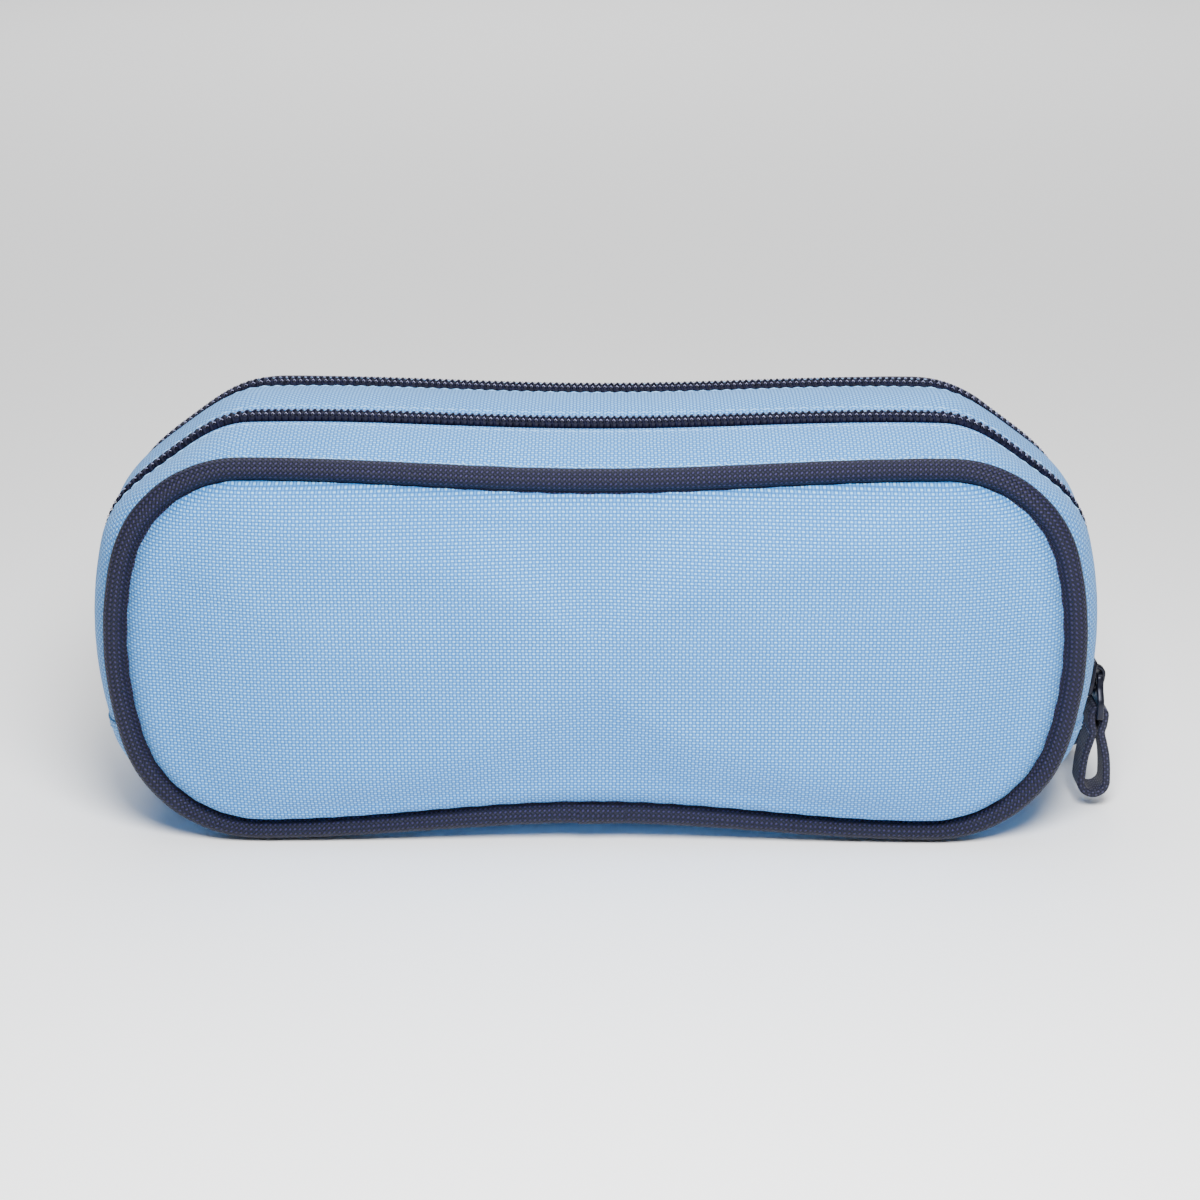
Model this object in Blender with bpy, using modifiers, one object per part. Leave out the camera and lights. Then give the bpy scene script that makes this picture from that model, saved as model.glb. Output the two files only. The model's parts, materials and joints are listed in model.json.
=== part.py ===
"""Soft pencil case with two zipped compartments, modelled for Blender 4.5.

Metres, +Z up, the front panel faces -Y. The origin is on the flat underside of the base, in its middle.
Every fabric piece follows one outline, the seam that the piping runs along, seen from the front.
A place on the fabric is given by its arc length along that outline, from the middle of the base
anticlockwise, its Y, and its depth under the fabric's outer surface.
"""

import math

import bmesh
import bpy
import numpy as np
from mathutils import Matrix, Vector

# Outline of the piping's centreline
HALF_LENGTH = 0.1075
LOBE_X = 0.077  # where the long sides are highest, each side of the waist
LOBE_Z = 0.0428
BASE_WAIST = 0.004  # how far each long side curves in at its middle
TOP_WAIST = 0.0024
CORNER_RADIUS = 0.0285

# Across the case, from front to back
PIPING_Y = 0.0385
ZIP_Y = 0.016
COIL_HALF_WIDTH = 0.003
FABRIC = 0.0008
GAP = 0.0003

# How far the fabric bulges outside the outline
END_BULGE = 0.0065
TOP_BULGE = 0.0068
LOBE_DROP = 0.001  # less bulge over the two high places than in the middle of the top
BASE_BULGE = 0.007
CORNER_DIP = 0.0028
MIDDLE_PILLOW = 0.002

# Piping
PIPING_RADIUS = 0.00245
PIPING_BORE = 0.00175
PIPING_CORD_RADIUS = 0.00145
PIPING_SIDES = 5
SEAM_ALLOWANCE = 0.0075
BINDING_OVERLAP = 0.0015  # the binding reaches this far past the raw edges
BINDING_TOP = 0.003
BINDING_NEAR = 0.00215
BINDING_FAR = 0.00105
BAND_EDGE = PIPING_Y - PIPING_RADIUS - 0.00035
DIVIDER_CLEARANCE = 0.001
CENTRE_Z = LOBE_Z + PIPING_RADIUS + GAP

# Panels
PANEL_CROWN = 0.005
PANEL_EDGE_INSET = 0.0029
PANEL_SEGMENTS = 10
PANEL_FACE = 0.0019  # the panel's rim stands this far in front of the piping's centre

# Zips
STRIP_EDGE = 0.0045  # from the zip's middle to the folded edge of the fabric
TAPE_WIDTH = 0.0115
TAPE_FOLD = 0.0072  # where the tape bends under the fabric
TAPE_DEPTH = FABRIC + GAP
TAPE = 0.0006
COIL_PROUD = 0.0014
COIL_HEIGHT = 0.0022
SLOT_HALF = 0.00045  # half the slit between the two rows of coil, where the slider's web runs
ZIP_END_ANGLE = math.radians(-13.3)
STOP_LENGTH = 0.002

# Slider, pull tab and strap
SLIDER_ANGLE = math.radians(-8.3)
SLIDER_LENGTH = 0.009
PLATE_HALF_WIDTH = 0.004
PLATE = 0.0012
TOP_RUNNING_GAP = 0.00055
INNER_RUNNING_GAP = 0.0013
INNER_PLATE = 0.001
INNER_PLATE_INSET = 0.0004
WEB = 0.0005
BRIDGE_WIDTH = 0.0022
BRIDGE_OPENING = 0.0019
BRIDGE_LEG_IN = 0.0018
BRIDGE_LEG_OUT = 0.0033
BRIDGE_CHAMFER = 0.0004
BRIDGE_CROWN = 0.0009
TAB = 0.001
TAB_DROP = 0.009  # from the tab's pivot to the strap's pivot
STRAP_WIDTH = 0.008
STRAP_EYE = 0.001
STRAP_BAND = 0.0013
STRAP_NECK = 0.0019
STRAP_LOOP_HALF = 0.0034
STRAP_NECK_END = -0.0042
STRAP_LOOP_LOW = -0.0168
STRAP_WALL = 0.0016

# Steps along each quarter of the outline
WAIST_STEPS = 4
CORNER_STEPS = 4
END_STEPS = 2

NAVY = (0.035, 0.04, 0.085, 1)
LIGHT_BLUE = (0.33, 0.52, 0.70, 1)
LINING = (0.25, 0.38, 0.52, 1)
DARK_METAL = (0.02, 0.022, 0.035, 1)


def clear_scene():
    for scene_object in list(bpy.data.objects):
        bpy.data.objects.remove(scene_object)


def end_arc_radius():
    """Radius of the end's arc, tangent to both corner arcs and reaching HALF_LENGTH."""
    across = HALF_LENGTH - LOBE_X
    up = LOBE_Z - CORNER_RADIUS
    return (CORNER_RADIUS**2 - across**2 - up**2) / (2 * (CORNER_RADIUS - across))


END_RADIUS = end_arc_radius()
END_CENTRE_X = HALF_LENGTH - END_RADIUS
END_ARC_ANGLE = math.atan2(LOBE_Z - CORNER_RADIUS, LOBE_X - END_CENTRE_X)


def quarter(waist, waist_steps, corner_steps, end_steps):
    """Points from the middle of the base to the middle of the right end, in X and height."""
    points = []
    for i in range(waist_steps):
        x = LOBE_X * i / waist_steps
        dip = waist * (1 + math.cos(math.pi * x / LOBE_X)) / 2
        points.append((x, dip - LOBE_Z))
    for i in range(corner_steps):
        angle = -math.pi / 2 + (math.pi / 2 - END_ARC_ANGLE) * i / corner_steps
        points.append(
            (
                LOBE_X + CORNER_RADIUS * math.cos(angle),
                CORNER_RADIUS - LOBE_Z + CORNER_RADIUS * math.sin(angle),
            )
        )
    for i in range(end_steps + 1):
        angle = -END_ARC_ANGLE * (1 - i / end_steps)
        points.append(
            (END_CENTRE_X + END_RADIUS * math.cos(angle), END_RADIUS * math.sin(angle))
        )
    return points


def closed_outline(*steps):
    """The whole outline, anticlockwise from the middle of the base, ending where it began."""
    lower = quarter(BASE_WAIST, *steps)
    upper = [(x, -z) for x, z in reversed(quarter(TOP_WAIST, *steps)[:-1])]
    right = lower + upper
    return np.array(right + [(-x, z) for x, z in reversed(right[:-1])])


class Outline:
    """Places and outward directions along the outline, by arc length."""

    def __init__(self):
        self.points = closed_outline(120, 90, 90)
        steps = np.linalg.norm(np.diff(self.points, axis=0), axis=1)
        self.lengths = np.concatenate([[0], np.cumsum(steps)])
        self.total = self.lengths[-1]
        ahead = np.roll(self.points[:-1], -1, axis=0)
        behind = np.roll(self.points[:-1], 1, axis=0)
        along = ahead - behind
        along /= np.linalg.norm(along, axis=1)[:, None]
        outward = np.stack([along[:, 1], -along[:, 0]], axis=1)
        self.outward = np.vstack([outward, outward[:1]])

    def at(self, s):
        s = s % self.total if s > self.total or s < 0 else s
        x, z = (np.interp(s, self.lengths, self.points[:, k]) for k in (0, 1))
        nx, nz = (np.interp(s, self.lengths, self.outward[:, k]) for k in (0, 1))
        size = math.hypot(nx, nz)
        return x, z, nx / size, nz / size

    def length_at(self, point):
        """Arc length of the outline point nearest to a given one."""
        gaps = np.linalg.norm(self.points - np.array(point), axis=1)
        return float(self.lengths[int(np.argmin(gaps))])


OUTLINE = Outline()
KNOTS = [
    OUTLINE.length_at(p) for p in closed_outline(WAIST_STEPS, CORNER_STEPS, END_STEPS)
]
KNOTS[-1] = OUTLINE.total
ZIP_START = OUTLINE.length_at(
    (
        END_CENTRE_X + END_RADIUS * math.cos(ZIP_END_ANGLE),
        END_RADIUS * math.sin(ZIP_END_ANGLE),
    )
)
ZIP_FINISH = OUTLINE.total - ZIP_START


def knots_between(start, finish):
    """The outline's own steps between two arc lengths, with both ends."""
    margin = 0.002
    inner = [
        s + turn
        for turn in (-OUTLINE.total, 0)
        for s in KNOTS[1:]
        if start + margin < s + turn < finish - margin
    ]
    return [start, *inner, finish]


def bulge(s, y):
    """How far the fabric's outer surface stands outside the outline."""
    x, _, nx, nz = OUTLINE.at(s)
    flat = TOP_BULGE - LOBE_DROP * min(1.0, (x / LOBE_X) ** 2) if nz > 0 else BASE_BULGE
    turn = (math.atan2(abs(nz), abs(nx)) - END_ARC_ANGLE) / (math.pi / 2 - END_ARC_ANGLE)
    turn = min(max(turn, 0.0), 1.0)
    share = turn * turn * (3 - 2 * turn)
    amount = END_BULGE + (flat - END_BULGE) * share
    amount -= CORNER_DIP * math.sin(math.pi * turn) ** 2
    inner = ZIP_Y - COIL_HALF_WIDTH
    outer = ZIP_Y + COIL_HALF_WIDTH
    if abs(y) <= inner:
        return amount + MIDDLE_PILLOW * (1 - (y / inner) ** 2)
    if abs(y) <= outer:
        return amount
    return amount * math.sin(math.pi / 2 * (PIPING_Y - abs(y)) / (PIPING_Y - outer))


def skin(s, y, depth):
    """A point that deep under the fabric's outer surface. The base lies flat at Z 0."""
    x, z, nx, nz = OUTLINE.at(s)
    out = bulge(s, y) - depth
    return Vector((x + nx * out, y, max(z + nz * out + CENTRE_Z, depth)))


def seam(s, y, out):
    """A point that far outside the outline, whatever the fabric's bulge."""
    x, z, nx, nz = OUTLINE.at(s)
    return Vector((x + nx * out, y, z + nz * out + CENTRE_Z))


def material(name, colour, roughness, metallic=0.0):
    made = bpy.data.materials.new(name)
    made.use_nodes = True
    shader = made.node_tree.nodes["Principled BSDF"]
    shader.inputs["Base Color"].default_value = colour
    shader.inputs["Roughness"].default_value = roughness
    shader.inputs["Metallic"].default_value = metallic
    made.diffuse_color = colour
    return made


def add_object(name, data, finish, collection, parent=None, matrix=None):
    made = bpy.data.objects.new(name, data)
    collection.objects.link(made)
    made.data.materials.append(finish)
    made.matrix_world = matrix or Matrix.Identity(4)
    if parent:
        made.parent = parent
        bpy.context.view_layer.update()
        made.matrix_parent_inverse = parent.matrix_world.inverted()
    return made


def empty(name, place, collection, parent=None):
    made = bpy.data.objects.new(name, None)
    made.empty_display_size = 0.01
    collection.objects.link(made)
    made.matrix_world = Matrix.Translation(place)
    if parent:
        made.parent = parent
        bpy.context.view_layer.update()
        made.matrix_parent_inverse = parent.matrix_world.inverted()
    return made


def smooth(mesh):
    mesh.shade_smooth()
    mesh.set_sharp_from_angle(angle=math.radians(35))


def bent_grid(name, columns, rows, place):
    """A flat grid, columns by rows of vertices, with each vertex put where place(column, row) says."""
    mesh = bpy.data.meshes.new(name)
    bm = bmesh.new()
    bmesh.ops.create_grid(bm, x_segments=columns - 1, y_segments=rows - 1, size=1)
    for v in bm.verts:
        column = round((v.co.x + 1) / 2 * (columns - 1))
        row = round((v.co.y + 1) / 2 * (rows - 1))
        v.co = place(column, row)
    return mesh, bm


def finish_mesh(mesh, bm):
    bm.to_mesh(mesh)
    bm.free()
    smooth(mesh)
    return mesh


def evenly(first, last, steps):
    return [first + (last - first) * i / steps for i in range(steps + 1)]


def fabric_strip(name, start, finish, ys, depth, thickness, look, collection):
    """A strip of cloth or tape bent along the outline, through the given Ys, thickened inwards."""
    stations = knots_between(start, finish)
    ys = sorted(ys, reverse=True)
    mesh, bm = bent_grid(
        name, len(stations), len(ys), lambda c, r: skin(stations[c], ys[r], depth)
    )
    made = add_object(name, finish_mesh(mesh, bm), look, collection)
    shell = made.modifiers.new("thickness", "SOLIDIFY")
    shell.thickness = thickness
    shell.offset = -1
    shell.use_even_offset = True
    return made


def swept_ring(name, profile, look, collection):
    """A closed profile, as (Y, outward) pairs, carried once round the outline."""
    stations = KNOTS
    loop = [*profile, profile[0]]

    def place(column, row):
        y, out = loop[row]
        return seam(stations[column], y, out)

    mesh, bm = bent_grid(name, len(stations), len(loop), place)
    bmesh.ops.remove_doubles(bm, verts=bm.verts, dist=0.00001)
    bmesh.ops.recalc_face_normals(bm, faces=bm.faces)
    return add_object(name, finish_mesh(mesh, bm), look, collection)


def piping_profile(y):
    """Cloth folded round a cord, open at a slit, with its two edges as the seam allowance."""
    cloth = PIPING_RADIUS - PIPING_BORE
    slit = GAP / 2
    outer_start = math.asin((slit + cloth) / PIPING_RADIUS)
    inner_start = math.asin(slit / PIPING_BORE)
    outer = [
        -math.pi / 2 + outer_start + (2 * math.pi - 2 * outer_start) * i / PIPING_SIDES
        for i in range(PIPING_SIDES + 1)
    ]
    inner = [
        -math.pi / 2 + inner_start + (2 * math.pi - 2 * inner_start) * i / PIPING_SIDES
        for i in range(PIPING_SIDES + 1)
    ]
    points = [(y + slit + cloth, -SEAM_ALLOWANCE)]
    points += [
        (y + PIPING_RADIUS * math.cos(a), PIPING_RADIUS * math.sin(a)) for a in outer
    ]
    points += [(y - slit - cloth, -SEAM_ALLOWANCE), (y - slit, -SEAM_ALLOWANCE)]
    points += [
        (y + PIPING_BORE * math.cos(a), PIPING_BORE * math.sin(a))
        for a in reversed(inner)
    ]
    points += [(y + slit, -SEAM_ALLOWANCE)]
    return points


def piping_cord(name, y, look, collection):
    """The cord inside the piping, a closed round tube."""
    curve = bpy.data.curves.new(name, "CURVE")
    curve.dimensions = "3D"
    curve.bevel_depth = PIPING_CORD_RADIUS
    curve.bevel_resolution = 1
    line = curve.splines.new("POLY")
    line.points.add(len(KNOTS) - 2)
    for point, s in zip(line.points, KNOTS[:-1]):
        point.co = (*seam(s, y, 0), 1)
    line.use_cyclic_u = True
    return add_object(name, curve, look, collection)


def seam_binding(name, side, look, collection):
    """Tape sewn over the raw edges inside the seam."""
    near = side * (PIPING_Y - BINDING_NEAR)
    far = side * (PIPING_Y - BINDING_FAR)
    inner, outer = -SEAM_ALLOWANCE - BINDING_OVERLAP, -BINDING_TOP
    profile = [(near, inner), (near, outer), (far, outer), (far, inner)]
    return swept_ring(name, profile, look, collection)


def panel(name, side, look, collection):
    """A rounded panel with a low crown, from a square grid drawn round to the outline."""

    def place(column, row):
        u = 2 * column / PANEL_SEGMENTS - 1
        v = 2 * row / PANEL_SEGMENTS - 1
        across = u * math.sqrt(1 - v * v / 2)
        up = v * math.sqrt(1 - u * u / 2)
        reach = math.hypot(across, up)
        turn = (math.atan2(up, across) + math.pi / 2) % (2 * math.pi)
        rim = seam(turn / (2 * math.pi) * OUTLINE.total, 0, -PANEL_EDGE_INSET)
        crown = PANEL_CROWN * (1 - reach**3)
        y = side * (PIPING_Y + PANEL_FACE + crown)
        return Vector((rim.x * reach, y, CENTRE_Z + (rim.z - CENTRE_Z) * reach))

    mesh, bm = bent_grid(name, PANEL_SEGMENTS + 1, PANEL_SEGMENTS + 1, place)
    bm.normal_update()
    facing = sum(face.normal.y for face in bm.faces) * side
    if facing < 0:
        bmesh.ops.reverse_faces(bm, faces=bm.faces)
    made = add_object(name, finish_mesh(mesh, bm), look, collection)
    shell = made.modifiers.new("thickness", "SOLIDIFY")
    shell.thickness = FABRIC
    shell.offset = -1
    return made


def flat_piece(name, loops, thickness, frame, look, collection, parent=None):
    """Closed outlines in a frame's first two axes, the later ones holes, made thick along the third."""
    curve = bpy.data.curves.new(name, "CURVE")
    curve.dimensions = "2D"
    curve.fill_mode = "BOTH"
    curve.extrude = thickness / 2
    for loop in loops:
        line = curve.splines.new("POLY")
        line.points.add(len(loop) - 1)
        for point, (u, v) in zip(line.points, loop):
            point.co = (u, v, 0, 1)
        line.use_cyclic_u = True
    return add_object(name, curve, look, collection, parent, frame)


def divider(look, collection):
    """The cloth wall between the compartments, sewn into the middle strip and the base."""
    inset = FABRIC + DIVIDER_CLEARANCE
    loop = []
    for s in KNOTS[:-1]:
        p = skin(s, 0, inset)
        loop.append((p.x, p.z))
    frame = Matrix(((1, 0, 0, 0), (0, 0, -1, 0), (0, 1, 0, 0), (0, 0, 0, 1)))
    return flat_piece("divider", [loop], FABRIC, frame, look, collection)


def frame_at(origin, first, second):
    """A placing matrix from its origin and first two axes."""
    third = first.cross(second)
    return Matrix(
        [[first[i], second[i], third[i], origin[i]] for i in range(3)] + [[0, 0, 0, 1]]
    )


def rectangle(u0, u1, v0, v1):
    return [(u0, v0), (u1, v0), (u1, v1), (u0, v1)]


def zip_tapes_and_coils(number, side, looks, collection):
    """One zip: on each side of its slit a woven tape with a row of coil, and a stop at each end."""
    middle = side * ZIP_Y
    for part, direction in (("outer", side), ("inner", -side)):
        near = middle + direction * SLOT_HALF
        tape_steps = (SLOT_HALF, COIL_HALF_WIDTH, TAPE_FOLD, TAPE_WIDTH)
        fabric_strip(
            f"zip_{number}_tape_{part}",
            ZIP_START,
            ZIP_FINISH,
            [middle + direction * step for step in tape_steps],
            TAPE_DEPTH,
            TAPE,
            looks["tape"],
            collection,
        )
        fabric_strip(
            f"zip_{number}_coil_{part}",
            ZIP_START + STOP_LENGTH + GAP,
            ZIP_FINISH - STOP_LENGTH - GAP,
            [near, middle + direction * COIL_HALF_WIDTH],
            -COIL_PROUD,
            COIL_HEIGHT,
            looks["coil"],
            collection,
        )
    for end, start in (("right", ZIP_START), ("left", ZIP_FINISH - STOP_LENGTH)):
        fabric_strip(
            f"zip_{number}_stop_{end}",
            start,
            start + STOP_LENGTH,
            [middle - side * SLOT_HALF, middle - side * COIL_HALF_WIDTH],
            -COIL_PROUD,
            COIL_HEIGHT,
            looks["metal"],
            collection,
        )


def slider_levels():
    """Distances from the end's arc centre to the foot and the top of the slider's web."""
    surface = END_RADIUS + END_BULGE
    web_foot = surface - TAPE_DEPTH - TAPE - INNER_RUNNING_GAP
    web_top = surface + COIL_PROUD + TOP_RUNNING_GAP
    return web_foot, web_top


def slider_set(number, side, looks, collection):
    """A slider on the right end with its bridge, pull tab and woven strap, each on its pivot."""
    y = side * ZIP_Y
    outward = Vector((math.cos(SLIDER_ANGLE), 0, math.sin(SLIDER_ANGLE)))
    along = Vector((-math.sin(SLIDER_ANGLE), 0, math.cos(SLIDER_ANGLE)))
    across = Vector((0, 1, 0))
    centre = Vector((END_CENTRE_X, y, CENTRE_Z))
    foot, top = slider_levels()
    travel = empty(f"zip_{number}_travel", centre, collection)

    inner_half = PLATE_HALF_WIDTH - INNER_PLATE_INSET
    section = [
        (-inner_half, foot - INNER_PLATE),
        (inner_half, foot - INNER_PLATE),
        (inner_half, foot),
        (WEB / 2, foot),
        (WEB / 2, top),
        (PLATE_HALF_WIDTH, top),
        (PLATE_HALF_WIDTH * 0.8, top + PLATE),
        (-PLATE_HALF_WIDTH * 0.8, top + PLATE),
        (-PLATE_HALF_WIDTH, top),
        (-WEB / 2, top),
        (-WEB / 2, foot),
        (-inner_half, foot),
    ]
    frame = frame_at(centre, across, outward)
    flat_piece(
        f"zip_{number}_slider",
        [section],
        SLIDER_LENGTH,
        frame,
        looks["metal"],
        collection,
        travel,
    )

    base = top + PLATE + GAP
    crown = base + BRIDGE_OPENING
    arch = [
        (-BRIDGE_LEG_OUT, base),
        (-BRIDGE_LEG_IN, base),
        (-BRIDGE_LEG_IN, crown - BRIDGE_CHAMFER),
        (-BRIDGE_LEG_IN + BRIDGE_CHAMFER, crown),
        (BRIDGE_LEG_IN - BRIDGE_CHAMFER, crown),
        (BRIDGE_LEG_IN, crown - BRIDGE_CHAMFER),
        (BRIDGE_LEG_IN, base),
        (BRIDGE_LEG_OUT, base),
        (BRIDGE_LEG_OUT, crown),
        (BRIDGE_LEG_OUT - BRIDGE_CROWN, crown + BRIDGE_CROWN),
        (-BRIDGE_LEG_OUT + BRIDGE_CROWN, crown + BRIDGE_CROWN),
        (-BRIDGE_LEG_OUT, crown),
    ]
    frame = frame_at(centre, along, outward)
    flat_piece(
        f"zip_{number}_bridge",
        [arch],
        BRIDGE_WIDTH,
        frame,
        looks["metal"],
        collection,
        travel,
    )

    pivot = centre + outward * (base + BRIDGE_OPENING / 2)
    tab_joint = empty(f"zip_{number}_tab_pivot", pivot, collection, travel)
    tab_shape = [
        (-0.0030, 0.0006),
        (0.0030, 0.0006),
        (0.0034, -0.0020),
        (0.0055, -0.0050),
        (0.0055, -0.0086),
        (0.0047, -TAB_DROP - 0.0006),
        (-0.0047, -TAB_DROP - 0.0006),
        (-0.0055, -0.0086),
        (-0.0055, -0.0050),
        (-0.0034, -0.0020),
    ]
    bridge_hole = rectangle(-0.0018, 0.0018, -0.0046, -0.0006)
    strap_hole = rectangle(-0.0043, 0.0043, -TAB_DROP + 0.0006, -0.0061)
    frame = frame_at(pivot, across, Vector((0, 0, 1)))
    flat_piece(
        f"zip_{number}_tab",
        [tab_shape, bridge_hole, strap_hole],
        TAB,
        frame,
        looks["metal"],
        collection,
        tab_joint,
    )

    strap_pivot = pivot - Vector((0, 0, TAB_DROP))
    strap_joint = empty(
        f"zip_{number}_strap_pivot", strap_pivot, collection, tab_joint
    )
    frame = frame_at(strap_pivot, Vector((1, 0, 0)), Vector((0, 0, 1)))
    flat_piece(
        f"zip_{number}_strap",
        strap_loops(),
        STRAP_WIDTH,
        frame,
        looks["webbing"],
        collection,
        strap_joint,
    )


def arc(centre_u, centre_v, radius, first, last, steps):
    """Points of an arc, its angles in degrees."""
    angles = [math.radians(first + (last - first) * i / steps) for i in range(steps + 1)]
    return [
        (centre_u + radius * math.cos(a), centre_v + radius * math.sin(a))
        for a in angles
    ]


def strap_loops():
    """The strap seen from the side: an eye round the tab's bar, a sewn neck, then an open loop."""
    right_side = [
        (STRAP_NECK, -0.0028),
        (STRAP_NECK + 0.0002, STRAP_NECK_END),
        (STRAP_LOOP_HALF, -0.0105),
    ]
    shape = arc(0, 0, STRAP_EYE + STRAP_BAND, 180, 0, 8)
    shape += right_side
    shape += arc(0, STRAP_LOOP_LOW, STRAP_LOOP_HALF, 0, -180, 8)
    shape += [(-u, v) for u, v in reversed(right_side)]
    bar_hole = arc(0, 0, STRAP_EYE, 0, 315, 7)
    inner_half = STRAP_LOOP_HALF - STRAP_WALL
    finger_hole = [(0, STRAP_NECK_END - 0.0008), (-inner_half * 0.75, -0.0085)]
    finger_hole += arc(0, STRAP_LOOP_LOW, inner_half, 180, 360, 6)
    finger_hole += [(inner_half * 0.75, -0.0085)]
    return [shape, bar_hole, finger_hole]


def wall(word, side, looks, collection):
    """The panel, piping and outer strip on one side of the case."""
    panel(f"{word}_panel", side, looks["cloth"], collection)
    swept_ring(
        f"{word}_piping_cover", piping_profile(side * PIPING_Y), looks["piping"], collection
    )
    piping_cord(f"{word}_piping_cord", side * PIPING_Y, looks["cord"], collection)
    seam_binding(f"{word}_seam_binding", side, looks["lining"], collection)
    fabric_strip(
        f"{word}_strip",
        ZIP_START,
        ZIP_FINISH,
        evenly(side * BAND_EDGE, side * (ZIP_Y + STRIP_EDGE), 4),
        0,
        FABRIC,
        looks["cloth"],
        collection,
    )


def build():
    clear_scene()
    collection = bpy.data.collections.new("pencil_case")
    bpy.context.scene.collection.children.link(collection)
    looks = {
        "cloth": material("light_blue_cloth", LIGHT_BLUE, 0.75),
        "lining": material("lining_cloth", LINING, 0.8),
        "piping": material("navy_piping", NAVY, 0.7),
        "cord": material("piping_cord", (0.7, 0.7, 0.68, 1), 0.8),
        "tape": material("navy_tape", NAVY, 0.8),
        "coil": material("navy_nylon", NAVY, 0.4),
        "metal": material("painted_metal", DARK_METAL, 0.35, 0.6),
        "webbing": material("navy_webbing", NAVY, 0.8),
    }
    for word, side in (("front", -1), ("rear", 1)):
        wall(word, side, looks, collection)
    middle_edge = ZIP_Y - STRIP_EDGE
    fabric_strip(
        "middle_strip",
        ZIP_START,
        ZIP_FINISH,
        evenly(-middle_edge, middle_edge, 4),
        0,
        FABRIC,
        looks["cloth"],
        collection,
    )
    fabric_strip(
        "base_band",
        ZIP_FINISH - OUTLINE.total + GAP,
        ZIP_START - GAP,
        evenly(-BAND_EDGE, BAND_EDGE, 12),
        0,
        FABRIC,
        looks["cloth"],
        collection,
    )
    divider(looks["lining"], collection)
    for number, side in ((1, -1), (2, 1)):
        zip_tapes_and_coils(number, side, looks, collection)
        slider_set(number, side, looks, collection)


build()
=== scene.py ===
"""Looks for the soft pencil case: its cloth, piping, zips, sliders and straps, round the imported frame.

Metres. +X is the case's length, the front panel faces -Y, +Z is up, and the base stands on Z 0.
A place on the cloth is an arc length along the piping's outline, from the middle of the base
anticlockwise as seen from the front, with a Y and a depth under the cloth's outer surface.
"""

import json
import math

import bmesh
import bpy
import numpy as np
from mathutils import Matrix, Vector


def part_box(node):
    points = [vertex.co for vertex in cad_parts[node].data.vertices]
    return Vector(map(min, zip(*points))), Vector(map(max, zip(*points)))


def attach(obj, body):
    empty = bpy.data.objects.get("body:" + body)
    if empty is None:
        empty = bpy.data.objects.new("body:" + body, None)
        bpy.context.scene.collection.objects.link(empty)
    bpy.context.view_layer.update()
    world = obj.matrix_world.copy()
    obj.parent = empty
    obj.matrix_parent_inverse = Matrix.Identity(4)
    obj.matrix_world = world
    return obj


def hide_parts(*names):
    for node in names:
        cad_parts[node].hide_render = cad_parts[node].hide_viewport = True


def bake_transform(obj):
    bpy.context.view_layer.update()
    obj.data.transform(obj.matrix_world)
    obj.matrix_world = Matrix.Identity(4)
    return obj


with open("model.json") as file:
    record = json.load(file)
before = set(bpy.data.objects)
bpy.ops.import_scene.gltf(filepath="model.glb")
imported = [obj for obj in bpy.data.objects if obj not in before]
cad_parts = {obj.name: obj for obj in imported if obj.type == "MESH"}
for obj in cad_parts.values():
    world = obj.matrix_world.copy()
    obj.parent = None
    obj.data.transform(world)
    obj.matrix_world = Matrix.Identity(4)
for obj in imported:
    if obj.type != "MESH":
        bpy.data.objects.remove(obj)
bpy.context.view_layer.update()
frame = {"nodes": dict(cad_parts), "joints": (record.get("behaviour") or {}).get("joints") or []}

# Outline of the piping's centreline, as in the part's source
CORD_LOW, CORD_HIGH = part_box("front_piping_cord")
CORD_RADIUS = 0.00145
HALF_LENGTH = CORD_HIGH[0] - CORD_RADIUS
LOBE_Z = (CORD_HIGH[2] - CORD_LOW[2]) / 2 - CORD_RADIUS
CENTRE_Z = (CORD_HIGH[2] + CORD_LOW[2]) / 2
PIPING_Y = -(CORD_HIGH[1] + CORD_LOW[1]) / 2
LOBE_X = 0.077
BASE_WAIST = 0.004
TOP_WAIST = 0.0024
CORNER_RADIUS = 0.0285
PIPING_RADIUS = 0.00245
SEAM_ALLOWANCE = 0.0075

# Bulge of the cloth outside the outline, and the zips' place across it
END_BULGE = 0.0065
TOP_BULGE = 0.0068
LOBE_DROP = 0.001
BASE_BULGE = 0.007
CORNER_DIP = 0.0028
END_FULLNESS = 0.0017  # how much more the strips swell out between piping and zip at the ends
MIDDLE_PILLOW = 0.002
ZIP_Y = 0.016  # of each zip's middle
COIL_HALF_WIDTH = 0.003
STRIP_EDGE = 0.0045
TAPE_WIDTH = 0.0115
CLOTH = 0.0008
GAP = 0.0003
ZIP_END_ANGLE = math.radians(-13.3)
SLIDER_ANGLE = math.radians(-8.3)
STOP_LENGTH = 0.002

SEWN_Y = PIPING_Y - PIPING_RADIUS - GAP  # where the strips and the base are sewn to the piping

# Panels
PANEL_CROWN = 0.008
CROWN_REACH = 0.04  # from the seam to where the panel is flat
PANEL_FACE = 0.0019
PANEL_EDGE_INSET = 0.0021
PANEL_HOLE = 0.0009  # radius that holds the grid's innermost ring, which one face closes
TUCK_DEPTH = 0.0021  # where the seam pulls the panel in
TUCK_WIDTH = 0.0017
ROLL_HEIGHT = 0.0007  # the cloth that swells up beside the tuck
ROLL_PLACE = 0.0052
ROLL_WIDTH = 0.003
PUCKER_HEIGHT = 0.00016
PUCKER_PITCH = 0.0072
PUCKER_REACH = 0.006
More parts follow.
